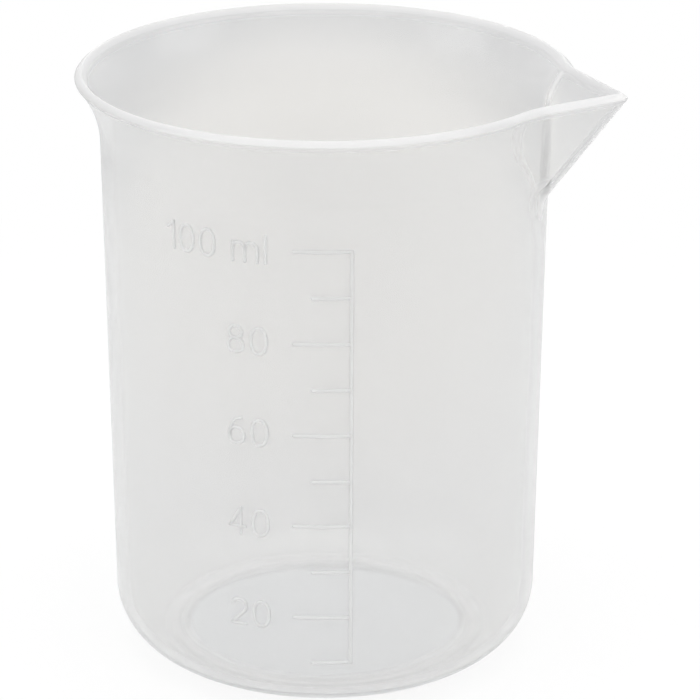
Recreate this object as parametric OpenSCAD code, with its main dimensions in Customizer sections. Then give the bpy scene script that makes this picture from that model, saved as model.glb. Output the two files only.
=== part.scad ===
// Resin mixing cup: a 100 ml beaker moulded in one shot from translucent polypropylene.
// Frame: +Z up, origin on the cup's axis in the plane it stands on, spout along +X.
// Each zone of the moulding is its own solid, and meets the next one face to face.

/* [Cup body] */
// Height from the table to the top of the rim
cup_h = 70; // [60:0.5:90]
// Outer diameter of the wall at the height of the heel's centre
body_d = 49.6; // [44:0.1:60]
// Angle by which the wall leans outwards, so that the cup leaves its mould
draft = 0.9; // [0.4:0.1:2.5]
// Thickness of the wall, heel, rim and spout
wall = 1.1; // [0.8:0.05:1.3]

/* [Base] */
// Outer radius of the rounded heel between foot and wall
heel_r = 7.4; // [5:0.1:9]
// Width of the flat ring that the cup stands on
foot_w = 0.6; // [0.4:0.1:1.5]
// Height by which the floor panel is lifted off the table
recess_h = 0.5; // [0.4:0.1:1.5]
// Thickness of the floor panel
floor_t = 0.9; // [0.8:0.05:1.8]
// Diameter of the gate mark under the middle of the floor
gate_d = 2.4; // [1.5:0.1:4]
// Height of the gate mark, which stays inside the recess
gate_h = 0.2; // [0.1:0.05:0.35]

/* [Rim] */
// Outer radius of the curve by which the wall flares out to the rim
flare_r = 12.1; // [9:0.1:16]
// Angle from upright at which the flare ends
flare_angle = 40; // [25:1:50]

/* [Spout] */
// Distance by which the sides of the spout would meet beyond the rim
spout_out = 7.1; // [5:0.1:10]
// Half of the spout's width where its edges leave the rim
spout_half_w = 9.4; // [7:0.1:12]
// Depth from the spout's edge down to the foot of its keel on the wall
spout_drop = 13.7; // [10:0.1:18]
// Radius of the groove along the bottom of the spout
groove_r = 0.4; // [0.2:0.05:1]

/* [Scale] */
// Millilitres at the highest mark
scale_top_ml = 100; // [60:20:100]
// Millilitres between one mark and the next
scale_step_ml = 10; // [5:5:20]
// Height by which the marks lie under the exact level of the liquid
mark_drop = 0.4; // [0:0.05:1]
// Angle from the spout round to the scale's upright line
spine_turn = 67.3; // [50:0.1:90]
// Length of a long mark, which has a number beside it
major_len = 6.4; // [5:0.1:9]
// Length of a short mark
minor_len = 4.3; // [2.5:0.1:4.9]
// Width of every raised line
line_w = 0.45; // [0.3:0.05:0.8]
// Height by which the lines stand proud of the wall
line_h = 0.22; // [0.1:0.01:0.4]

/* [Hidden] */
$fn = 128;

// Steps in which each rounded stretch of the section is drawn
arc_steps = 18;
// Length by which cutting shapes reach past what they cut
spare = 10;

// Centre of the heel's arc, and the inner edge of the flat ring beside it
heel_cr = body_d/2 - heel_r/cos(draft);
foot_in = heel_cr - foot_w;
// Top of the floor panel inside the cup
floor_z = recess_h + floor_t;
// Radii at which the base is divided into its zones
panel_r = foot_in - recess_h;
ring_r = heel_cr + wall;

// Outer corner of the rim: the edge face falls to it from the rim's inner corner
rim_z = cup_h - wall*sin(flare_angle);
// Height at which the flare starts, and the centre of its arc outside the wall
flare_z = rim_z - flare_r*(sin(flare_angle) - sin(draft));
flare_cr = wall_r(flare_z) + flare_r*cos(draft);
flare_cz = flare_z - flare_r*sin(draft);
rim_r = flare_cr - flare_r*cos(flare_angle);

// Point where the spout's sides would meet, and the foot of its keel on the wall
tip_x = rim_r + spout_out;
keel_foot_z = rim_z - spout_drop;
keel_lean = atan2(tip_x - wall_r(keel_foot_z), spout_drop);
keel_len = spout_drop/cos(keel_lean);
// Place where the spout's edge leaves the rim, seen from above
root_x = sqrt(pow(rim_r, 2) - pow(spout_half_w, 2));
// Angle between the spout's edge and its centre plane, seen from above
edge_turn = atan2(spout_half_w, tip_x - root_x);
// The same angle seen along the keel
side_turn = atan2(spout_half_w, (tip_x - root_x)*cos(keel_lean));
// Lean of the spout's sides from upright
side_lean = atan(tan(keel_lean)*sin(edge_turn));
// Slope of the spout's edge face, from the rim's outer height up to its top
edge_rise = cup_h - rim_z;
edge_slope = atan2(edge_rise, wall/cos(side_lean) - edge_rise*tan(side_lean));

// Outer radius of the straight wall at a height
function wall_r(z) = body_d/2 + (z - heel_r)*tan(draft);

// Points along an arc, from one angle to another
function arc(cr, cz, r, from, to) = [
  for (i = [0:arc_steps])
    let (a = from + (to - from)*i/arc_steps)
      [cr + r*cos(a), cz + r*sin(a)]
];

// Radius of the space inside at a height: the heel's inner arc, then the leaning wall
function cavity_r(z) =
  z < heel_r - (heel_r - wall)*sin(draft)
    ? heel_cr + sqrt(max(0, pow(heel_r - wall, 2) - pow(heel_r - z, 2)))
    : wall_r(z) - wall/cos(draft);

// Radius of the raised floor panel at a height inside, none above its top
function panel_edge(z) = z < floor_z ? foot_in + sqrt(2)*wall - z : 0;

// Surface of the liquid at a height, in square millimetres
function liquid_area(z) = PI*(pow(cavity_r(z), 2) - pow(panel_edge(z), 2));

// Sum of a list of numbers
function sum(v, i = 0, total = 0) = i < len(v) ? sum(v, i + 1, total + v[i]) : total;

// Millilitres below a height, summed over thin slices of liquid
slices = 120;
ml_in_mm3 = 1000;
function filled_ml(z) =
  let (dz = (z - wall)/slices)
    sum([for (i = [0:slices - 1]) liquid_area(wall + (i + 0.5)*dz)])*dz/ml_in_mm3;

// Height at which the cup holds a volume, found by halving an interval
function mark_z(ml, lo = wall, hi = flare_z, halvings = 20) =
  let (mid = (lo + hi)/2)
    halvings == 0 ? mid
    : filled_ml(mid) < ml ? mark_z(ml, mid, hi, halvings - 1)
    : mark_z(ml, lo, mid, halvings - 1);

// Height of a mark's line on the wall
function line_z(ml) = mark_z(ml) - mark_drop;

// Marks keep to the straight wall between heel and flare, and every second one is long
function fits(z) = z > heel_r - line_w && z < flare_z - 2*line_w;
all_ml = [scale_step_ml:scale_step_ml:scale_top_ml];
fitting_ml = [for (ml = all_ml) if (fits(line_z(ml))) ml];
major_ml = [for (ml = fitting_ml) if (ml % (2*scale_step_ml) == 0) ml];
minor_ml = [for (ml = fitting_ml) if (ml % (2*scale_step_ml) != 0) ml];

// Half section of the cup, filled solid
module outside() {
  polygon(concat(
    [[0, 0]],
    arc(heel_cr, heel_r, heel_r, -90, -draft),
    arc(flare_cr, flare_cz, flare_r, 180 - draft, 180 - flare_angle),
    [[rim_r - wall*cos(flare_angle), cup_h], [0, cup_h]]
  ));
}

// Half section of the space inside, down to the raised floor panel
module inside() {
  top = cup_h + spare;
  lip_r = rim_r - wall*cos(flare_angle);
  polygon(concat(
    [[0, floor_z], [foot_in + sqrt(2)*wall - floor_z, floor_z]],
    [[foot_in + (sqrt(2) - 1)*wall, wall]],
    arc(heel_cr, heel_r, heel_r - wall, -90, -draft),
    arc(flare_cr, flare_cz, flare_r + wall, 180 - draft, 180 - flare_angle),
    [[lip_r, top], [0, top]]
  ));
}

// Half section of the recess under the floor panel
module recess() {
  polygon([[0, -spare], [foot_in, -spare], [foot_in, 0], [panel_r, recess_h], [0, recess_h]]);
}

// The part of the moulding between two radii and two heights
module zone(r0, r1, z0, z1) {
  rotate_extrude()
    intersection() {
      difference() {
        outside();
        inside();
        recess();
      }
      translate([r0, z0])
        square([r1 - r0, z1 - z0]);
    }
}

// Section of the spout square to its keel, moved in by a gap: a V with a rounded point
module keel_section(gap) {
  back = (groove_r + wall)/sin(side_turn);
  round_end = 90 - side_turn;
  keel = arc(-back, 0, groove_r + wall - gap, -round_end, round_end);
  reach = (spout_half_w + spare)/sin(side_turn);
  end = keel[arc_steps] + reach*[-cos(side_turn), sin(side_turn)];
  polygon(concat(keel, [end, [end.x, -end.y]]));
}

// The section carried along the keel, from inside the wall to above the rim
module keel_run(gap) {
  intersection() {
    translate([tip_x, 0, rim_z])
      rotate([0, keel_lean, 0])
        translate([0, 0, -keel_len - spare])
          linear_extrude(keel_len + 2*spare)
            keel_section(gap);
    translate([0, -spout_half_w - wall, 0])
      cube([tip_x + spare, 2*(spout_half_w + wall), cup_h + gap]);
  }
}

// Everything above the sloping faces along the spout's two edges
module above_edges() {
  size = 2*spout_half_w + 2*spare;
  for (far_side = [0, 1])
    mirror([0, far_side, 0])
      translate([tip_x, 0, rim_z])
        rotate([edge_slope, 0, 180 - edge_turn])
          translate([-size/2, -size/2, 0])
            cube(size);
}

// A raised line on the wall between two heights and two angles round the axis
module raised_line(z0, z1, a0, a1) {
  rotate_extrude(angle = a1 - a0, start = a0)
    polygon([
      [wall_r(z0), z0],
      [wall_r(z0) + line_h, z0],
      [wall_r(z1) + line_h, z1],
      [wall_r(z1), z1]
    ]);
}

// Marks that run from the upright line away from the spout, one for each volume
module marks(volumes, length) {
  for (ml = volumes) {
    z = line_z(ml);
    turn = length/wall_r(z)*180/PI;
    raised_line(z - line_w/2, z + line_w/2, -spine_turn - turn, -spine_turn);
  }
}

// Thin bottom inside the foot, with the mark that the mould's gate leaves
module floor_panel() {
  color("whitesmoke") {
    zone(0, panel_r, 0, floor_z);
    translate([0, 0, recess_h - gate_h])
      cylinder(d = gate_d, h = gate_h);
  }
}

// Flat ring that the cup stands on, and the step from it up to the floor panel
module foot_ring() {
  color("gainsboro")
    zone(panel_r, ring_r, 0, heel_r);
}

// Quarter-round from foot to wall
module rounded_heel() {
  color("whitesmoke")
    zone(ring_r, rim_r, 0, heel_r);
}

// Leaning wall, cut away where the spout's channel runs through it
module side_wall() {
  color("ghostwhite")
    difference() {
      zone(heel_cr, rim_r, heel_r, flare_z);
      keel_run(wall);
    }
}

// Trumpet-shaped rim, cut away where the spout's channel opens
module flared_rim() {
  color("white")
    difference() {
      zone(heel_cr, rim_r, flare_z, cup_h);
      keel_run(wall);
    }
}

// V-shaped pouring spout outside wall and rim, open at its top
module pouring_spout() {
  color("aliceblue")
    difference() {
      keel_run(0);
      keel_run(wall);
      above_edges();
      rotate_extrude()
        outside();
    }
}

// Upright line of the scale, from its lowest mark to its highest
module scale_spine() {
  turn = line_w/wall_r(cup_h/2)*180/PI;
  z0 = line_z(min(fitting_ml)) - line_w/2;
  z1 = line_z(max(fitting_ml)) + line_w/2;
  color("lightsteelblue")
    raised_line(z0, z1, -spine_turn, turn - spine_turn);
}

// Long marks, one for each number
module major_marks() {
  color("lightsteelblue")
    marks(major_ml, major_len);
}

// Short marks halfway between the numbers
module minor_marks() {
  color("lightsteelblue")
    marks(minor_ml, minor_len);
}

floor_panel();
foot_ring();
rounded_heel();
side_wall();
flared_rim();
pouring_spout();
scale_spine();
major_marks();
minor_marks();
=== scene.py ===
# %% [markdown]
# # A resin mixing cup
# This lesson dresses the packed CAD model of a small graduated cup, moulded in one
# shot from translucent plastic. Lengths are written in millimetres, as a mould maker
# writes them, and become metres where a mesh is made, because Blender works in metres.

import math

import bpy
import numpy as np
from mathutils import Matrix


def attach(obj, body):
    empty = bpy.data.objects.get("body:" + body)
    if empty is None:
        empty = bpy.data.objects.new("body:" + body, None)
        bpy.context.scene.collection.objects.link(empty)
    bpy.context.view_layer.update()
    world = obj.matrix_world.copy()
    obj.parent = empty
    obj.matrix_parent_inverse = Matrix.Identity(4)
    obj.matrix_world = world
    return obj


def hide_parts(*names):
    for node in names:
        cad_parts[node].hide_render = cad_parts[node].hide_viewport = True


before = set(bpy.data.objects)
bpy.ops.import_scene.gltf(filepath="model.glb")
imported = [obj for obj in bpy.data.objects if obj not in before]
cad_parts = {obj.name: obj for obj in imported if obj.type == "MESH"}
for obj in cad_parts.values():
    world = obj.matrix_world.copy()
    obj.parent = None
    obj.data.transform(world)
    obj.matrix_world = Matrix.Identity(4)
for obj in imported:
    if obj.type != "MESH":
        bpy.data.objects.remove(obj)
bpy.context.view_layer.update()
MM = 0.001

# %% [markdown]
# ## The sizes of the moulding
# The cup's section is a few straight lines and arcs, the same that its CAD model is
# made from. All of it follows from one wall thickness and a handful of radii.

# %% Sizes, in millimetres and radians
CUP_H, BODY_D, WALL, DRAFT = 70, 49.6, 1.1, math.radians(0.9)
HEEL_R, FOOT_W, RECESS_H, FLOOR_T = 7.4, 0.6, 0.5, 0.9
GATE_D, GATE_H = 2.4, 0.2
FLARE_R, FLARE_ANGLE = 12.1, math.radians(40)
SPOUT_OUT, SPOUT_HALF_W, SPOUT_DROP, GROOVE_R = 7.1, 9.4, 13.7, 0.4


def wall_radius(z):
    """Radius of the leaning wall outside: half the body's diameter at the top of the heel,
    plus the height above that times the tangent of the draft."""
    return BODY_D / 2 + (z - HEEL_R) * math.tan(DRAFT)


heel_cr = BODY_D / 2 - HEEL_R / math.cos(DRAFT)
foot_in = heel_cr - FOOT_W
panel_r = foot_in - RECESS_H
floor_z = RECESS_H + FLOOR_T
rim_z = CUP_H - WALL * math.sin(FLARE_ANGLE)
flare_z = rim_z - FLARE_R * (math.sin(FLARE_ANGLE) - math.sin(DRAFT))
flare_cr = wall_radius(flare_z) + FLARE_R * math.cos(DRAFT)
flare_cz = flare_z - FLARE_R * math.sin(DRAFT)
rim_r = flare_cr - FLARE_R * math.cos(FLARE_ANGLE)
print(f"rim radius {rim_r:.2f} at height {rim_z:.2f}, flare from {flare_z:.2f}")

# %% [markdown]
# The spout is a V-shaped channel that leans outwards. Its keel is a straight line from
# the wall up to the tip, and its two sides are planes through that line. Cut level, at
# any height, the V keeps its angle and only moves out, which makes it easy to compute.

# %% Angles of the spout
tip_x = rim_r + SPOUT_OUT
keel_foot_z = rim_z - SPOUT_DROP
keel_lean = math.atan2(tip_x - wall_radius(keel_foot_z), SPOUT_DROP)
root_x = math.sqrt(rim_r**2 - SPOUT_HALF_W**2)
edge_turn = math.atan2(SPOUT_HALF_W, tip_x - root_x)
side_turn = math.atan2(SPOUT_HALF_W, (tip_x - root_x) * math.cos(keel_lean))
print(f"keel leans {math.degrees(keel_lean):.1f}, edges turn {math.degrees(edge_turn):.1f} degrees")

# %% [markdown]
# ## One skin for the whole moulding
# On the real cup the panel, foot, heel, wall, rim and spout are one piece of plastic.
# They could be six meshes, but clear plastic shows every face inside it, so each joint
# would show as a line. Here they are one closed skin instead: a section carried round
# the axis, whose radius at each azimuth is that of the cup or of the spout, whichever
# is larger.


# %% Radius of the cup at a height
def cup_radius(z, gap):
    """Radius of the cup's surface, moved in by a gap: the leaning wall, and above the start
    of the flare the flare's centre less the root of its radius squared less the height squared."""
    straight = wall_radius(z) - gap / math.cos(DRAFT)
    arc_r = FLARE_R + gap
    height = np.clip(z - flare_cz, 0, arc_r * math.sin(FLARE_ANGLE) + WALL)
    curved = flare_cr - np.sqrt(arc_r**2 - height**2)
    return np.where(z < flare_cz + arc_r * math.sin(DRAFT), straight, curved)


print(f"body radius at half height {cup_radius(CUP_H / 2, 0):.2f}, inside it "
      f"{cup_radius(CUP_H / 2, WALL):.2f}")


# %% [markdown]
# The spout's two sides are flat plates that meet in a rounded keel. The keel could be a
# sharp edge, but mouldings seldom have one. It is round, with a small groove inside it,
# and the wall keeps its thickness round the bend. Cut level, a leaning round keel is an
# ellipse, so its radius at an azimuth is where a ray from the axis meets that ellipse.


# %% Radius of the spout at an azimuth and a height
def spout_radius(azimuth, z, gap):
    """Distance from the axis to the V along an azimuth: for a flat side, the V's point over
    cos + sin / tan(edge turn); near the keel, the larger root of ray meets ellipse."""
    point = tip_x - (rim_z - z) * math.tan(keel_lean)
    inset = gap / (math.sin(side_turn) * math.cos(keel_lean))
    round_r = GROOVE_R + WALL - gap
    cos, sin = np.cos(azimuth), np.abs(np.sin(azimuth))
    flat = (point - inset) / (cos + sin / math.tan(edge_turn))
    centre = point - (GROOVE_R + WALL) / (math.sin(side_turn) * math.cos(keel_lean))
    c2, t2 = math.cos(keel_lean) ** 2, (sin / cos) ** 2
    inner_root = (centre * c2) ** 2 - (c2 + t2) * (centre**2 * c2 - round_r**2)
    x = (centre * c2 + np.sqrt(np.maximum(inner_root, 0))) / (c2 + t2)
    rounded = np.abs(x * sin / cos) < round_r * math.cos(side_turn)
    radius = np.where(rounded, x / cos, flat)
    return np.where(cos > 0.5, radius, 0)


print(f"the spout's tip is {spout_radius(0.0, rim_z, 0):.2f} from the axis")


# %% [markdown]
# Where the spout leaves the cup, the larger of the two radii alone would give a knife
# edge. The real fold is slightly rounded, and a parabola between the two does that.


# %% Cup and spout joined
def soft_max(a, b, reach):
    """The larger of two values, with the crease between them filled by a parabola of that reach."""
    near = np.maximum(reach - np.abs(a - b), 0) / reach
    return np.maximum(a, b) + near**2 * reach / 4


CREASE = 0.9


def skin_radius(azimuth, z, gap):
    """Radius of the whole moulding: the soft larger one of cup and spout."""
    return soft_max(cup_radius(z, gap), spout_radius(azimuth, z, gap), CREASE)


print(f"the fold is filled by up to {CREASE / 4:.2f} mm")

# %% [markdown]
# The azimuths are close together at the spout, closest at its keel, and far apart on
# the plain side. Spacing is turned into places by adding up how many steps fit.

# %% Azimuths of the grid
TURN_STEP = 0.01
STEP_AT, STEPS = [0, 2, 5, 23, 32, 180], [0.12, 0.16, 0.34, 0.34, 2.0, 2.0]
turn = np.linspace(0, 180, round(180 / TURN_STEP) + 1)
step = np.interp(turn, STEP_AT, STEPS)
passed = np.concatenate([[0], np.cumsum(TURN_STEP / step[1:])])
half = np.interp(np.linspace(0, passed[-1], math.ceil(passed[-1]) + 1), passed, turn)
azimuths = np.radians(np.concatenate([half, 360 - half[-2:0:-1]]))
print(len(azimuths), "azimuths")

# %% [markdown]
# Below the spout the wall is straight, and a few rows are enough. From just under the
# keel's foot up to the rim the shape changes at every height, so the rows are close.

# %% Heights of the rows
ROW, PLAIN_ROWS = 0.25, 17
dense_from = keel_foot_z - 1
plain_rows = np.linspace(HEEL_R, dense_from, PLAIN_ROWS + 1)[1:]
dense_rows = np.arange(dense_from + ROW, rim_z - ROW, ROW)
print(len(plain_rows), "rows on the plain wall,", len(dense_rows), "along the spout")


# %% [markdown]
# A mould has no perfectly sharp corner, and a rounded corner is what catches the light.
# Each corner of the section is replaced by a short parabola.

# %% Arcs and softened corners
def arc(centre_r, centre_z, radius, start, end, steps=22):
    """Points of a circle between two angles: centre plus radius times (cos, sin)."""
    a = np.linspace(start, end, steps + 1)
    return np.stack([centre_r + radius * np.cos(a), centre_z + radius * np.sin(a)], axis=1)


def soften(corners, cut, steps=4):
    """A path of straight lines whose corners become parabolas that start and end `cut` away."""
    p = np.array(corners, float)
    back, on = p[:-2] - p[1:-1], p[2:] - p[1:-1]
    first = p[1:-1] + back * (cut / np.linalg.norm(back, axis=1))[:, None]
    last = p[1:-1] + on * (cut / np.linalg.norm(on, axis=1))[:, None]
    t = np.linspace(0, 1, steps + 1)[:, None, None]
    bend = (1 - t) ** 2 * first + 2 * t * (1 - t) * p[1:-1] + t**2 * last
    return np.vstack([p[:1], bend.transpose(1, 0, 2).reshape(-1, 2), p[-1:]])


print(len(soften([(0, 0), (1, 0), (1, 1)], 0.1)), "points on a path with one softened corner")


# %% [markdown]
# Smooth shading is worked out between neighbouring rows. With a long flat face beside a
# small rounded corner it would bend over the whole face, and the face would look
# dented. Extra rows close to each corner keep the bend where it belongs. More rows
# along the long faces do the same for the number that is given to each point further on.


# %% Extra rows beside the corners
LEAST_GAP = 0.02


def support(path, distance=0.3, apart=1.6):
    """The path with extra points a short way before and after each of its own, so that
    shading that turns round a corner stays near it, and others evenly along long lines."""
    run = np.concatenate([[0], np.cumsum(np.linalg.norm(np.diff(path, axis=0), axis=1))])
    even = np.arange(0, run[-1], apart)
    even = even[np.abs(even[:, None] - run).min(axis=1) > 2 * distance]
    places = np.concatenate([run, run[1:] - distance, run[:-1] + distance, even])
    places = np.unique(np.round(places[(places >= 0) & (places <= run[-1])], 3))
    keep = np.concatenate([[True], np.diff(places) > LEAST_GAP])
    return np.stack([np.interp(places[keep], run, path[:, i]) for i in (0, 1)], axis=1)


print(len(support(np.array([(0, 0), (10, 0)]))), "points on a straight line of 10 mm")

# %% [markdown]
# The floor is thin and lifted off the table, so that the cup stands on a narrow ring
# and doesn't rock. Under its middle is the round mark of the gate, where the plastic
# was let in. The heel above the ring is a quarter circle, outside and inside.

# %% Section of the base
FIRST_R, LAST_R, CUT_BELOW, CUT_ABOVE = 0.3, 0.5, 0.09, 0.07
gate_z = RECESS_H - GATE_H
below = soften([(FIRST_R, gate_z), (GATE_D / 2, gate_z), (GATE_D / 2, RECESS_H),
                (panel_r, RECESS_H), (foot_in, 0), (heel_cr, 0)], CUT_BELOW)
heel_out = arc(heel_cr, HEEL_R, HEEL_R, -math.pi / 2, -DRAFT)
heel_in = arc(heel_cr, HEEL_R, HEEL_R - WALL, -DRAFT, -math.pi / 2)
slope_r = foot_in + (math.sqrt(2) - 1) * WALL
above = soften([heel_in[-1], (slope_r, WALL), (slope_r + WALL - floor_z, floor_z),
                (LAST_R, floor_z)], CUT_ABOVE)
print(len(below), "points under the floor,", len(above), "on top of it")

# %% [markdown]
# Now the rows are stacked from the middle of the underside, out and up the wall, over
# the rim's sloping edge face and down inside to the middle of the floor.

# %% Rows as arrays of radius and height
A = azimuths[None, :]


def level_rows(z, gap):
    """Rows at given heights on the wall, flare and spout."""
    z = np.asarray(z, float)[:, None] + 0 * A
    return np.stack([skin_radius(A, z, gap), z])


def turned_rows(section):
    """Rows of the base, which are the same at every azimuth."""
    return np.stack([section[:, i, None] + 0 * A for i in (0, 1)])


def bend_rows(start, corner, end, steps=5):
    """Rows round an edge: at each azimuth a parabola from start to end, aimed at the corner."""
    t = np.linspace(0, 1, steps + 1)[None, :, None]
    return (1 - t) ** 2 * start + 2 * t * (1 - t) * corner + t**2 * end


print("a level row has", level_rows([CUP_H / 2], 0).shape[2], "points")

# %% [markdown]
# The rim ends in a face square to the flare, so the outer edge is a little lower than
# the inner one. The spout's edge faces lie between the same two heights. Both edges are
# rounded, as on any moulding.

# %% The rim's edge face
EDGE, EDGE_DOWN = 0.22, 0.22 * 0.8
outer, inner = level_rows([rim_z], 0), level_rows([CUP_H], WALL)
face = (inner - outer) / np.linalg.norm(inner - outer, axis=0)
outer_bend = bend_rows(level_rows([rim_z - EDGE_DOWN], 0), outer, outer + EDGE * face)
inner_bend = bend_rows(inner - EDGE * face, inner, level_rows([CUP_H - EDGE_DOWN], WALL))
print(f"the edge face falls {CUP_H - rim_z:.2f} mm outwards")

# %% All rows of the skin
wall_rows = np.concatenate([plain_rows, dense_rows])
last_rows = np.arange(dense_rows[-1] + ROW, CUP_H - 2 * EDGE, ROW)
inside_rows = np.concatenate([plain_rows, dense_rows, last_rows])[::-1]
rows = np.concatenate([
    turned_rows(support(below)), turned_rows(heel_out[1:]), level_rows(wall_rows, 0),
    outer_bend, inner_bend, level_rows(inside_rows, WALL), turned_rows(heel_in[1:]),
    turned_rows(support(above)[1:])], axis=1)
print("skin:", rows.shape[1], "rows of", rows.shape[2], "points")


# %% [markdown]
# A grid whose rows are closed rings needs one triangle fan at each end, or its last row
# joined to its first. Rows that run from the underside outwards and upwards make faces
# that point outwards.


# %% Points and faces of a closed grid
def shell(grid, poles=None):
    """Points and faces of a grid whose rows are rings: quads between rows, then a fan to a
    pole at each end, or the last row joined to the first where there are no poles."""
    count, ring = grid.shape[:2]
    points = grid.reshape(-1, 3)
    number = np.arange(count * ring).reshape(count, ring)
    if poles is None:
        number = np.concatenate([number, number[:1]])
    beside = np.roll(number, -1, axis=1)
    quads = np.stack([number[:-1], beside[:-1], beside[1:], number[1:]], axis=2)
    faces = [quads.reshape(-1, 4)]
    if poles is not None:
        ends = len(points) + 0 * number[0]
        faces.append(np.stack([ends, beside[0], number[0]], axis=1))
        faces.append(np.stack([number[-1], beside[-1], ends + 1], axis=1))
        points = np.concatenate([points, poles])
    return points, faces


print(len(shell(np.zeros((3, 8, 3)))[1][0]), "faces on a closed tube of 3 rings of 8 points")


# %% [markdown]
# Several shells can share one mesh, as the marks of the scale do. Here millimetres
# become metres.


# %% One object from shells
def mesh_object(name, shells):
    """One smooth object from any number of shells, with its place in its mesh."""
    starts = np.cumsum([0] + [len(points) for points, faces in shells])
    blocks = [(block + start).tolist()
              for (_, faces), start in zip(shells, starts) for block in faces]
    every_point = np.concatenate([points for points, _ in shells]) * MM
    mesh = bpy.data.meshes.new(name)
    mesh.from_pydata(every_point.tolist(), [], [face for block in blocks for face in block])
    mesh.polygons.foreach_set("use_smooth", np.ones(len(mesh.polygons), bool))
    piece = bpy.data.objects.new(name, mesh)
    bpy.context.scene.collection.objects.link(piece)
    print(f"{name}: {len(mesh.polygons)} faces")
    return piece


# %% [markdown]
# ## Where the plastic looks dense
# Milky plastic scatters light inside, so it looks whiter at an edge, in a fold and where it is
# thick. The material used here is a surface with nothing inside, so it can't find these places by
# itself. Instead each point of the skin gets a number from 0 to 1 that says how dense the plastic
# looks there, and the material reads it as an attribute. The places are known from the shape, and
# the numbers were set against the photo.

# %% A smooth bump
def bump_of(value, middle, half):
    """One at the middle, falling smoothly to zero at that distance from it on both sides."""
    t = np.clip(1 - np.abs(value - middle) / half, 0, 1)
    return t * t * (3 - 2 * t)


print("a bump at 0, 1 and 2 mm from its middle:", bump_of(np.arange(3), 0, 2))

# %% [markdown]
# Each dense place has a share, which is the number in its middle, and a reach in
# millimetres. The folds are where the spout leaves the cup, seen on the inner surface
# only. The keel is marked on the outer surface only, and its foot, the knee, is where
# three bends meet.

# %% How dense each point looks
LIP_SHARE, FACE_SHARE, FOLD_SHARE = 0.8, 0.2, 0.4
KEEL_SHARE, KNEE_SHARE, FOOT_SHARE = 0.8, 0.9, 0.9
LIP_REACH, FOLD_REACH, KEEL_REACH, KNEE_REACH, FOOT_REACH = 1.5, 0.5, 1.4, 3.0, 1.7
KNEE_UP, FOOT_OUT, FOOT_TOP, KEEL_SKIN, FACE_FROM = 1.2, 0.9, 2.6, 0.4, rim_z - 0.15

radius, height = rows
sideways = radius * np.sin(A)
spout = spout_radius(A, height, 0)
inner_cup = cup_radius(height, WALL)
lip = LIP_SHARE * bump_of(height, CUP_H, LIP_REACH) + FACE_SHARE * (height > FACE_FROM)
fold = FOLD_SHARE * bump_of(inner_cup - spout_radius(A, height, WALL), 0, FOLD_REACH)
fold = fold * (height > keel_foot_z) * (np.abs(radius - inner_cup) < WALL / 2)
keel = KEEL_SHARE * bump_of(sideways, 0, KEEL_REACH)
keel = keel * (spout > cup_radius(height, 0)) * (radius > spout - KEEL_SKIN)
from_knee = np.hypot(height - (keel_foot_z + KNEE_UP), sideways)
knee = KNEE_SHARE * bump_of(from_knee, 0, KNEE_REACH) * (np.cos(A) > 0)
foot = FOOT_SHARE * bump_of(radius, foot_in + FOOT_OUT, FOOT_REACH) * (height < FOOT_TOP)
# Part real, part painted light: the plastic looks denser at these places, and the whiter colour
# stands in for the light that it gathers and scatters there.
dense = np.clip(np.maximum.reduce([lip, fold, keel, knee, foot]), 0, 1)
print(f"{(dense > 0.5).mean():.0%} of the skin's points look more dense than clear")

# %% [markdown]
# The skin closes at two poles, one in the middle of the gate mark and one in the middle
# of the floor. It takes the place of the six nodes that the CAD model has for the
# moulding.

# %% The skin as one object
skin = np.stack([radius * np.cos(A), radius * np.sin(A), height], axis=2)
cup = mesh_object("moulded_cup", [shell(skin, [(0, 0, gate_z), (0, 0, floor_z)])])
# This attribute carries both the denser look and the painted light at the lip, folds, keel and
# foot.
density = cup.data.attributes.new("density_and_painted_glow", "FLOAT", "POINT")
density.data.foreach_set("value", np.concatenate([dense.ravel(), [0, 0]]).astype(np.float32))
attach(cup, "root")
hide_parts("floor_panel", "foot_ring", "rounded_heel", "side_wall", "flared_rim",
            "pouring_spout")

# %% [markdown]
# ## The scale
# Such a scale is usually cut into the mould with a round-ended cutter, so that every line
# and every stroke of a number stands proud as a narrow rounded ridge with round ends.
# A font would give flat letters with sharp sides. Instead each stroke is a path, drawn
# flat and wrapped round the wall, and a half-round section is carried along it.

# %% A flat drawing laid on the wall
def wrap(u, v, proud, turn):
    """A flat drawing laid on the wall: u runs round it from an azimuth, v is the height."""
    r = wall_radius(v)
    a = turn + u / r
    return np.stack([(r + proud) * np.cos(a), (r + proud) * np.sin(a), v], axis=-1)


print("10 mm round the wall from azimuth 0 ends at", wrap(10, CUP_H / 2, 0, 0).round(2))


# %% [markdown]
# The ridge goes a little way into the wall, so that no gap shows under it. Its ends
# close in a few rings that shrink along a circle.


# %% A ridge along a path
LINE_W, LINE_H, SINK = 0.45, 0.17, 0.03
END_RINGS, TIP_OUT, TIP_UP = np.radians([80, 60, 35]), 0.01, 0.02


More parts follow.
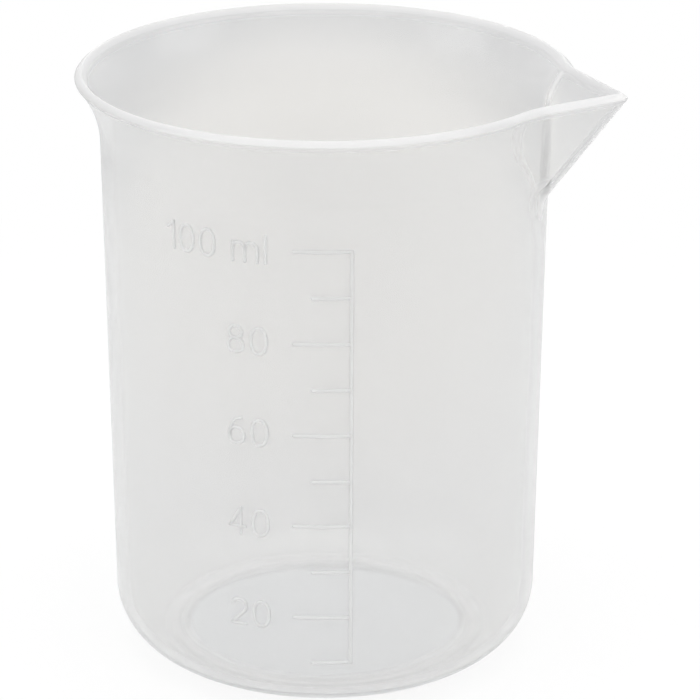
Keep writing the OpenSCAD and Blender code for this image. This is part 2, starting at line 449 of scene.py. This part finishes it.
def ridge(path, turn, closed=False, width=LINE_W, height=LINE_H, around=14):
    """A half ellipse carried along a path: beside the path half the width times a cosine,
    off the wall the height times a sine, and just under the surface where that is below
    zero. At an open end both shrink along a circle, to a pole."""
    path = np.array(path, float)
    along = np.roll(path, -1, 0) - np.roll(path, 1, 0) if closed else np.gradient(path, axis=0)
    along /= np.linalg.norm(along, axis=1)[:, None]
    size = np.ones(len(path))
    poles = None
    if not closed:
        out = np.sin(END_RINGS)[:, None] * width / 2
        path = np.concatenate([path[0] - along[0] * out, path, path[-1] + along[-1] * out[::-1]])
        count = len(END_RINGS)
        along = np.concatenate([along[[0] * count], along, along[[-1] * count]])
        size = np.concatenate([np.cos(END_RINGS), size, np.cos(END_RINGS)[::-1]])
        tips = path[[0, -1]] + along[[0, -1]] * [[-TIP_OUT], [TIP_OUT]]
        poles = wrap(tips[:, 0], tips[:, 1], TIP_UP, turn)
    side = np.stack([-along[:, 1], along[:, 0]], axis=1)
    a = np.linspace(0, 2 * np.pi, around, endpoint=False)
    beside = size[:, None] * width / 2 * np.cos(a)
    flat = path[:, None] + side[:, None] * beside[..., None]
    lift = size[:, None] * np.sin(a)
    proud = np.where(lift > 0, lift * height, lift * SINK)
    return shell(wrap(flat[..., 0], flat[..., 1], proud, turn), poles)


def line(start, end, steps=2):
    """Points evenly along a straight line."""
    return np.linspace(start, end, steps)


print("a ridge of 5 mm has", len(ridge(line((0, 20), (5, 20), 6), 0)[0]), "points")

# %% [markdown]
# The marks' heights come from the volume under each one, which the CAD model has worked
# out, so they are read from its marks and not typed in.

# %% Heights of the marks
MARK_GAP = 2


def mark_heights(node):
    """Middle heights of a node's marks: its points' heights, sorted and split at wide gaps."""
    points = np.zeros(3 * len(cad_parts[node].data.vertices))
    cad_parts[node].data.vertices.foreach_get("co", points)
    z = np.sort(points[2::3]) / MM
    marks = np.split(z, np.flatnonzero(np.diff(z) > MARK_GAP) + 1)
    return [(mark[0] + mark[-1]) / 2 for mark in marks]


major_z, minor_z = mark_heights("major_marks"), mark_heights("minor_marks")
print("long marks at", np.round(major_z, 2), "and short ones at", np.round(minor_z, 2))


# %% [markdown]
# The marks all start at the upright line and run round the wall. They are 0.22 mm high
# in the CAD model. At that height they showed more strongly than in the photograph, so
# here they are a little lower.


# %% Long and short marks
SPINE_TURN = math.radians(-67.3)
MAJOR_LEN, MINOR_LEN = 6.4, 4.3


def marks(name, node, length):
    """One ridge per height, from the upright line round the wall away from the spout."""
    paths = [line((-length + LINE_W / 2, z), (LINE_W / 2, z), 14) for z in mark_heights(node)]
    piece = mesh_object(name, [ridge(path, SPINE_TURN) for path in paths])
    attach(piece, "root")
    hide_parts(node)
    return piece


major = marks("long_marks", "major_marks", MAJOR_LEN)
minor = marks("short_marks", "minor_marks", MINOR_LEN)

# %% The upright line
lowest, highest = min(minor_z + major_z), max(minor_z + major_z)
upright = line((LINE_W / 2, lowest), (LINE_W / 2, highest), 40)
spine = mesh_object("scale_line", [ridge(upright, SPINE_TURN)])
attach(spine, "root")
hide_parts("scale_spine")
print(f"the upright line runs from {lowest:.2f} to {highest:.2f}")

# %% [markdown]
# The numbers are drawn in the way a pantograph engraves them: single strokes of one
# width. Each figure fills a box one unit high, and its strokes are lines and ovals. A
# row of the table gives a figure's width, its closed strokes and its open ones.

# %% Figures as strokes
ROUND_POWER, SHOULDER = 0.9, 0.62


def oval(x, y, rx, ry, start=0, end=360, steps=26):
    """Points of a slightly squared ellipse: each radius times a cosine or sine that is
    raised to a power below one."""
    a = np.radians(np.linspace(start, end, steps, endpoint=end - start != 360))
    bulge = [np.sign(f) * np.abs(f) ** ROUND_POWER for f in (np.cos(a), np.sin(a))]
    return np.stack([x + rx * bulge[0], y + ry * bulge[1]], axis=1)


def arch(x0, x1, top=0.7):
    """One arch of the letter m: over half an ellipse from its shoulder, and down."""
    rise = top * (1 - SHOULDER)
    over = oval((x0 + x1) / 2, top * SHOULDER, (x1 - x0) / 2, rise, 180, 0, 14)
    return np.concatenate([over, line((x1, top * 0.5), (x1, 0), 3)])


FIGURES = {
    "0": (0.58, [oval(0.29, 0.5, 0.29, 0.5)], []),
    "1": (0.30, [], [line((0.3, 0), (0.3, 1)), line((0.3, 1), (0, 0.76))]),
    "2": (0.56, [], [np.concatenate([oval(0.28, 0.71, 0.28, 0.29, 165, -20, 16),
                                     line((0.47, 0.5), (0, 0))]),
                     line((0, 0), (0.56, 0))]),
    "4": (0.60, [], [line((0.43, 1), (0, 0.3)), line((0, 0.3), (0.6, 0.3)),
                     line((0.43, 1), (0.43, 0))]),
    "6": (0.58, [oval(0.29, 0.31, 0.29, 0.31)], [oval(0.5, 0.31, 0.5, 0.69, 180, 92, 14)]),
    "8": (0.58, [oval(0.29, 0.77, 0.25, 0.23), oval(0.29, 0.27, 0.29, 0.27)], []),
    "m": (0.94, [], [line((0, 0), (0, 0.7)), arch(0, 0.47), arch(0.47, 0.94)]),
    "l": (0.00, [], [line((0, 0), (0, 1))]),
    " ": (0.12, [], []),
}
print("figures drawn:", " ".join(FIGURES))

# %% [markdown]
# Each label ends at the same azimuth, a little way from the long marks, and its middle
# is level with its mark.

# %% Labels beside the long marks
FIGURE_H, STROKE_W, STROKE_H, FIGURE_GAP = 3.05, 0.40, 0.15, 0.94
LABEL_END = math.radians(-87.6)


def label(text, z):
    """Ridges of one label, set from right to left: each figure moves on by its width and a gap."""
    wide = [FIGURES[letter][0] * FIGURE_H for letter in text]
    x = -STROKE_W / 2 - sum(wide) - FIGURE_GAP * (len(text) - 1)
    shells = []
    for letter, width in zip(text, wide):
        place = np.array([x, z - FIGURE_H / 2])
        _, loops, strokes = FIGURES[letter]
        for path, closed in [(p, True) for p in loops] + [(p, False) for p in strokes]:
            drawn = path * FIGURE_H + place
            shells.append(ridge(drawn, LABEL_END, closed, STROKE_W, STROKE_H, around=12))
        x += width + FIGURE_GAP
    return shells


texts = [f"{20 * (i + 1)}" for i in range(len(major_z))]
texts[-1] += " ml"
strokes = [stroke for text, z in zip(texts, sorted(major_z)) for stroke in label(text, z)]
numbers = mesh_object("scale_numbers", strokes)
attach(numbers, "root")
print("labels:", texts)

# %% [markdown]
# ## Materials
# A material is a small program of nodes. Written as Python expressions it stays
# readable: a wrapped socket takes part in sums, and each sum adds its Math node.


# %% A socket that can be used in sums
class Value:
    """One output in a node tree. Sums with it add Math nodes, also with the number first."""

    def __init__(self, tree, socket):
        self.tree, self.socket = tree, socket

    def math(self, operation, a, b):
        """One Math node on two numbers or sockets."""
        return node(self.tree, "ShaderNodeMath", {"operation": operation}, {0: a, 1: b})

    def __add__(self, other):
        return self.math("ADD", self, other)

    def __sub__(self, other):
        return self.math("SUBTRACT", self, other)

    def __rsub__(self, other):
        return self.math("SUBTRACT", other, self)

    def __mul__(self, other):
        return self.math("MULTIPLY", self, other)

    __radd__, __rmul__ = __add__, __mul__


def node(tree, kind, settings=None, inputs=None, output=0):
    """Adds a node, sets its settings and then its sockets, and gives one of its outputs."""
    new = tree.nodes.new(kind)
    for name, value in (settings or {}).items():
        setattr(new, name, value)
    for name, value in (inputs or {}).items():
        if isinstance(value, Value):
            tree.links.new(value.socket, new.inputs[name])
        else:
            new.inputs[name].default_value = value
    return Value(tree, new.outputs[output]) if new.outputs else new


overloads = [name.strip("_") for name in vars(Value) if name.endswith(("add__", "sub__", "mul__"))]
print("sums that a socket takes part in:", overloads)


# %% [markdown]
# A few kinds of node are used again and again, so each gets a short name.


# %% Noise, blends, greys and ramps
def noise(tree, size, detail=2.0):
    """Noise between 0 and 1 whose blobs are about `size` millimetres across."""
    place = node(tree, "ShaderNodeTexCoord", output="Object")
    return node(tree, "ShaderNodeTexNoise", {},
                {"Vector": place, "Scale": 1 / (size * MM), "Detail": detail})


def blend(tree, factor, low, high):
    """A colour between two colours."""
    return node(tree, "ShaderNodeMix", {"data_type": "RGBA"}, {0: factor, 6: low, 7: high}, 2)


def grey(level):
    """A colour without a hue, from one level."""
    return (level, level, level, 1)


def ramp(tree, value, start, end):
    """A value in metres turned into one that goes smoothly from 0 to 1 between two places in
    millimetres."""
    return node(tree, "ShaderNodeMapRange", {"interpolation_type": "SMOOTHSTEP"},
                {0: value, 1: start * MM, 2: end * MM, 3: 0.0, 4: 1.0})


def new_tree(name):
    """An empty material and its node tree."""
    material = bpy.data.materials.new(name)
    material.use_nodes = True
    material.node_tree.nodes.clear()
    return material, material.node_tree


WHITE = grey(1)

# %% [markdown]
# The cup looks like polypropylene without pigment: it lets most light through but
# scatters it, so that things behind it blur within a few millimetres. Glass with a
# rough surface does this in a shader, with some white diffuse colour for the light that
# the plastic throws back. Real polypropylene bends light with an index of 1.49. With
# that index the lip, the edges and the lines came out much darker than in the
# photograph, probably because nothing scatters light inside. So the body gets a low
# index, and a thin coat with the real one gives the shine.

# %% Colours of the plastic
PANEL_COLOUR, LIP_COLOUR, PAINTED_GLOW_WHITE = (0.895, 0.905, 0.915, 1), grey(0.82), grey(0.95)
LOW_FROM, LOW_TO = 2.6, 1.6
PANEL_FROM, PANEL_TO = foot_in - 0.2, foot_in - 0.7
FOOT_FROM, FOOT_FULL, FOOT_FADES, FOOT_GONE = (foot_in + d for d in (-0.7, -0.1, 1.4, 2.6))
LIP_FROM = rim_z - 0.6


def wall_colour(tree, cloud, thick, light, dark):
    """The plastic's colour: light and dark by the cloud, then the floor panel, which is thin, in a
    slightly darker, cooler colour, the dense edges, painted whiter for the light that they gather,
    the foot, which is thick and painted white for the light that it catches, and the lip, which is
    darker."""
    place = node(tree, "ShaderNodeTexCoord", output="Object")
    x, y, z = (node(tree, "ShaderNodeSeparateXYZ", {}, {0: place}, i) for i in range(3))
    r = x.math("SQRT", x * x + y * y, 0)
    low = ramp(tree, z, LOW_FROM, LOW_TO)
    panel = ramp(tree, r, PANEL_FROM, PANEL_TO) * low
    foot = ramp(tree, r, FOOT_FROM, FOOT_FULL) * ramp(tree, r, FOOT_GONE, FOOT_FADES) * low
    colour = blend(tree, cloud, dark, light)
    colour = blend(tree, panel, colour, PANEL_COLOUR)
    # Painted light: the dense places are painted whiter, for the light that the plastic gathers and
    # scatters there.
    colour = blend(tree, thick, colour, PAINTED_GLOW_WHITE)
    # Painted highlight: the foot ring is thick plastic, painted white for the light that it
    # catches.
    colour = blend(tree, foot, colour, WHITE)
    return blend(tree, ramp(tree, z, LIP_FROM, rim_z), colour, LIP_COLOUR)


print(f"the panel's colour ends at a radius of {PANEL_FROM:.2f}, the foot's at {FOOT_GONE:.2f}")

# %% [markdown]
# A mould's surface leaves a very fine grain on the plastic, and shrinking as it cools
# leaves a faint waviness. Two shaders share the colour, the grain and the index: a clear
# one for the wall and a denser, rougher one for the edges, mixed by the attribute. The
# dense places are rough and lose the coat, which helps to keep the narrow keel smooth.
# Without that it breaks up into bright dots.

# %% Milky polypropylene
IOR, COAT_IOR, COAT, COAT_ROUGH = 1.1, 1.49, 0.5, 0.2
EDGE_CLEAR, EDGE_ROUGH, EDGE_SHARE = 0.25, 0.45, 0.9
CLOUD_SIZE, GRAIN_SIZE, WAVE_SIZE = 14, 0.35, 9
GRAIN, WAVE, BUMP, BUMP_DEPTH, ROUGH_SWING = 0.4, 6, 0.25, 0.02, 0.06


def polypropylene(name, light, dark, roughness, clear):
    """A rough clear plastic whose colour and roughness vary a little from place to place, and
    which is denser and whiter where the thickness attribute says so."""
    material, tree = new_tree(name)
    cloud = noise(tree, CLOUD_SIZE)
    # Where this attribute is high the plastic is denser and painted whiter, which stands in for the
    # light it gathers.
    thick = node(tree, "ShaderNodeAttribute", {"attribute_name": "density_and_painted_glow"}, {}, "Fac")
    uneven = noise(tree, GRAIN_SIZE, 3) * GRAIN + noise(tree, WAVE_SIZE, 0) * WAVE
    bump = node(tree, "ShaderNodeBump", {}, {
        "Strength": BUMP, "Distance": BUMP_DEPTH * MM, "Height": uneven})
    shared = {
        "Base Color": wall_colour(tree, cloud, thick, light, dark), "IOR": IOR, "Normal": bump,
        "Coat Weight": (1 - thick) * COAT, "Coat Roughness": COAT_ROUGH, "Coat IOR": COAT_IOR}
    thin_wall = node(tree, "ShaderNodeBsdfPrincipled", {}, {
        "Roughness": cloud * ROUGH_SWING + (roughness - ROUGH_SWING / 2),
        "Transmission Weight": clear, **shared})
    thick_wall = node(tree, "ShaderNodeBsdfPrincipled", {}, {
        "Roughness": EDGE_ROUGH, "Transmission Weight": EDGE_CLEAR, **shared})
    wall = node(tree, "ShaderNodeMixShader", {}, {
        0: thick * EDGE_SHARE, 1: thin_wall, 2: thick_wall})
    node(tree, "ShaderNodeOutputMaterial", {}, {"Surface": wall})
    return material


print(f"index of the body {IOR}, of its coat {COAT_IOR}")

# %% [markdown]
# The lines of the scale are the same plastic. They get a little more white and a rougher surface,
# set until they showed nearly as faintly as in the photograph.

# %% The two plastics and their pieces
cup_plastic = polypropylene("milky_polypropylene", (0.922, 0.919, 0.914, 1),
                            (0.908, 0.908, 0.907, 1), roughness=0.14, clear=0.76)
line_plastic = polypropylene("raised_line_polypropylene", grey(0.95), grey(0.94),
                             roughness=0.20, clear=0.56)
print("materials:", cup_plastic.name, line_plastic.name)
cup.data.materials.append(cup_plastic)
for piece in (major, minor, spine, numbers):
    piece.data.materials.append(line_plastic)

# %% [markdown]
# ## The set
# The cup stands on a white table in even light, as it does for a catalogue. The light
# that falls on it comes from a plain level all round and from three soft boxes. What
# the camera sees, and what shows in and through the plastic, is set apart from that
# light, so that the white can be plain without washing out the cup. The table's rings
# are close together near the cup and wide far out.

# %% Table top
TABLE_R, TABLE_Z = 3000, -0.02
table_r = np.concatenate([np.linspace(15, 150, 10), np.geomspace(220, TABLE_R, 12)])
table_a = np.radians(np.arange(0, 360, 5))
circle = np.stack([np.cos(table_a), np.sin(table_a), 0 * table_a], axis=1)
rings = table_r[::-1, None, None] * circle + [0, 0, TABLE_Z]
table_points, table_faces = shell(rings, [(TABLE_R * 1.01, 0, TABLE_Z), (0, 0, TABLE_Z)])
table = mesh_object("table", [(table_points, [table_faces[0], table_faces[2]])])
print("the table top reaches", TABLE_R, "mm from the cup's axis")

# %% [markdown]
# The room lights the cup with one even level. Rays that glance off or pass through the
# plastic see a white room with a darker ceiling instead, and the camera sees plain
# white.

# %% The room
FILL, CEILING, CEILING_FROM, CEILING_TO = 0.82, 0.5, 0.1, 0.6


def ray_is(tree, kind):
    """One where the ray is of that kind: from the camera, off a shiny face or through one."""
    return node(tree, "ShaderNodeLightPath", output=f"Is {kind} Ray")


def seen(tree):
    """One for rays from the camera, and for rays that glance off or pass through the plastic."""
    camera, glancing, through = (
        ray_is(tree, kind) for kind in ("Camera", "Glossy", "Transmission"))
    return camera.math("MAXIMUM", camera, camera.math("MAXIMUM", glancing, through))


world = bpy.data.worlds.new("white_room")
bpy.context.scene.world = world
world.use_nodes = True
tree = world.node_tree
tree.nodes.clear()
direction = node(tree, "ShaderNodeTexCoord", output="Generated")
up = node(tree, "ShaderNodeSeparateXYZ", {}, {0: direction}, 2)
overhead = node(tree, "ShaderNodeMapRange", {"interpolation_type": "SMOOTHSTEP"},
                {0: up, 1: CEILING_FROM, 2: CEILING_TO, 3: 0.0, 4: 1.0})
ceiling = overhead * (1 - ray_is(tree, "Camera"))
shade = blend(tree, seen(tree), grey(FILL), blend(tree, ceiling, WHITE, grey(CEILING)))
sky = node(tree, "ShaderNodeBackground", {}, {"Color": shade, "Strength": 1.0})
node(tree, "ShaderNodeOutputWorld", {}, {"Surface": sky})
print("light from the room:", FILL, "of white, its ceiling:", CEILING)

# %% [markdown]
# Through the wall the photograph shows a cool grey and, in the mouth, a warm light patch. Neither
# is in its white background, so they probably come from things that stood round the cup. The table
# glows with them: a grey that darkens with distance, and one long painted pool of warm light behind
# the cup. Only rays that meet the plastic see them.

# %% The table's grey and its painted pool of light
# The long patch is a painted pool of warm light behind the cup.
PATCH_TURN, PATCH_AWAY, PATCH_LONG, PATCH_WIDE = math.radians(106.65), 155, 105, 40
PATCH_FULL, PATCH_GONE = 0.65, 1.3
CLOSE, FAR, PAINTED_POOL_COLOUR = (0.93, 0.935, 0.94, 1), (0.60, 0.605, 0.615, 1), (1.0, 0.985, 0.955, 1)
FAR_FROM, FAR_TO = 140, 250
patch_x, patch_y = (PATCH_AWAY * MM * f(PATCH_TURN) for f in (math.cos, math.sin))
white_table, tree = new_tree("white_table")
place = node(tree, "ShaderNodeTexCoord", output="Object")
distance = node(tree, "ShaderNodeVectorMath", {"operation": "LENGTH"}, {0: place}, "Value")
in_patch = node(tree, "ShaderNodeMapping", {"vector_type": "TEXTURE"}, {
    0: place, "Location": (patch_x, patch_y, 0), "Rotation": (0, 0, PATCH_TURN),
    "Scale": (PATCH_LONG * MM, PATCH_WIDE * MM, 1)})
away = node(tree, "ShaderNodeVectorMath", {"operation": "LENGTH"}, {0: in_patch}, "Value")
patch = node(tree, "ShaderNodeMapRange", {"interpolation_type": "SMOOTHSTEP"},
             {0: away, 1: PATCH_FULL, 2: PATCH_GONE, 3: 1.0, 4: 0.0})
ground = blend(tree, ramp(tree, distance, FAR_FROM, FAR_TO), CLOSE, FAR)
lit = blend(tree, patch, ground, PAINTED_POOL_COLOUR)
print(f"the patch is {PATCH_AWAY} mm from the axis")

# %% [markdown]
# The table glows with this grey and painted pool of light for the rays that see them, and is plain
# paper for all other light. Close to the cup a share of the paper is mixed in for the camera too,
# which lets the cup's shadow show.

# %% The table's material
SHADOW, SHADOW_FROM, SHADOW_TO = 0.12, 40, 160
shadow = node(tree, "ShaderNodeMapRange", {}, {
    0: distance, 1: SHADOW_FROM * MM, 2: SHADOW_TO * MM, 3: SHADOW, 4: 0.0})
paper = node(tree, "ShaderNodeBsdfDiffuse", {}, {"Color": grey(0.9)})
glow = node(tree, "ShaderNodeEmission", {}, {
    "Color": blend(tree, ray_is(tree, "Camera"), lit, WHITE), "Strength": 1.0})
paper_share = shadow * seen(tree) + (1 - seen(tree))
surface = node(tree, "ShaderNodeMixShader", {}, {0: paper_share, 1: glow, 2: paper})
node(tree, "ShaderNodeOutputMaterial", {}, {"Surface": surface})
table.data.materials.append(white_table)
print("share of paper under the cup:", SHADOW)

# %% [markdown]
# The camera's place was worked out from the photograph: how fast the rim's ellipse
# opens against the foot's gives its distance and height, and the spout gives its side.
# It faces the axis, but for a slight turn that puts the cup a little left of the middle.
# The turn's tangent is that offset over the focal length, both in the photo's pixels.

# %% Camera
CAMERA_TURN, CAMERA_DISTANCE, CAMERA_H = math.radians(-73.35), 397.47, 186.48
OFFSET_PX, FOCAL_PX = 24.91, 3639.9
PITCH, LENS, SENSOR = math.radians(20.78), 187.2, 36
aside = math.atan(OFFSET_PX / FOCAL_PX)
camera = bpy.data.objects.new("camera", bpy.data.cameras.new("camera"))
bpy.context.scene.collection.objects.link(camera)
stand = Matrix.Translation([CAMERA_DISTANCE * math.cos(CAMERA_TURN) * MM,
                            CAMERA_DISTANCE * math.sin(CAMERA_TURN) * MM, CAMERA_H * MM])
turned = Matrix.Rotation(CAMERA_TURN + math.pi / 2, 4, "Z")
tilted = Matrix.Rotation(math.pi / 2 - PITCH, 4, "X")
camera.matrix_world = stand @ turned @ tilted @ Matrix.Rotation(-aside, 4, "Y")
camera.data.sensor_width, camera.data.lens = SENSOR, LENS
camera.data.clip_start, camera.data.clip_end = 0.01, 10
bpy.context.scene.camera = camera
print(f"the camera is {CAMERA_DISTANCE:.0f} mm away and {CAMERA_H:.0f} mm up")

# %% [markdown]
# Three soft boxes, one large above and one on each side, face the middle of the cup and
# add soft highlights to the even light.

# %% Lamps
LAMP_DISTANCE, AIM_H, SIDE_UP = 900, 35, 35


def soft_box(name, turn, up, size, power):
    """A square area lamp that faces the cup from an azimuth and an elevation, in degrees."""
    lamp = bpy.data.lights.new(name, "AREA")
    lamp.shape, lamp.size, lamp.energy = "SQUARE", size * MM, power
    holder = bpy.data.objects.new(name, lamp)
    bpy.context.scene.collection.objects.link(holder)
    around = Matrix.Rotation(math.radians(turn) + math.pi / 2, 4, "Z")
    over = Matrix.Rotation(math.pi / 2 - math.radians(up), 4, "X")
    aim, out = (Matrix.Translation((0, 0, z * MM)) for z in (AIM_H, LAMP_DISTANCE))
    holder.matrix_world = aim @ around @ over @ out
    print(f"{name}: {power} W from {up} degrees up")


soft_box("box_above", -73, 80, size=800, power=3.4)
soft_box("box_left", -150, SIDE_UP, size=500, power=1.3)
soft_box("box_right", 10, SIDE_UP, size=500, power=1.3)

# %% [markdown]
# The Standard view keeps the white of the table white.

# %% Settings
bpy.context.scene.view_settings.view_transform = "Standard"
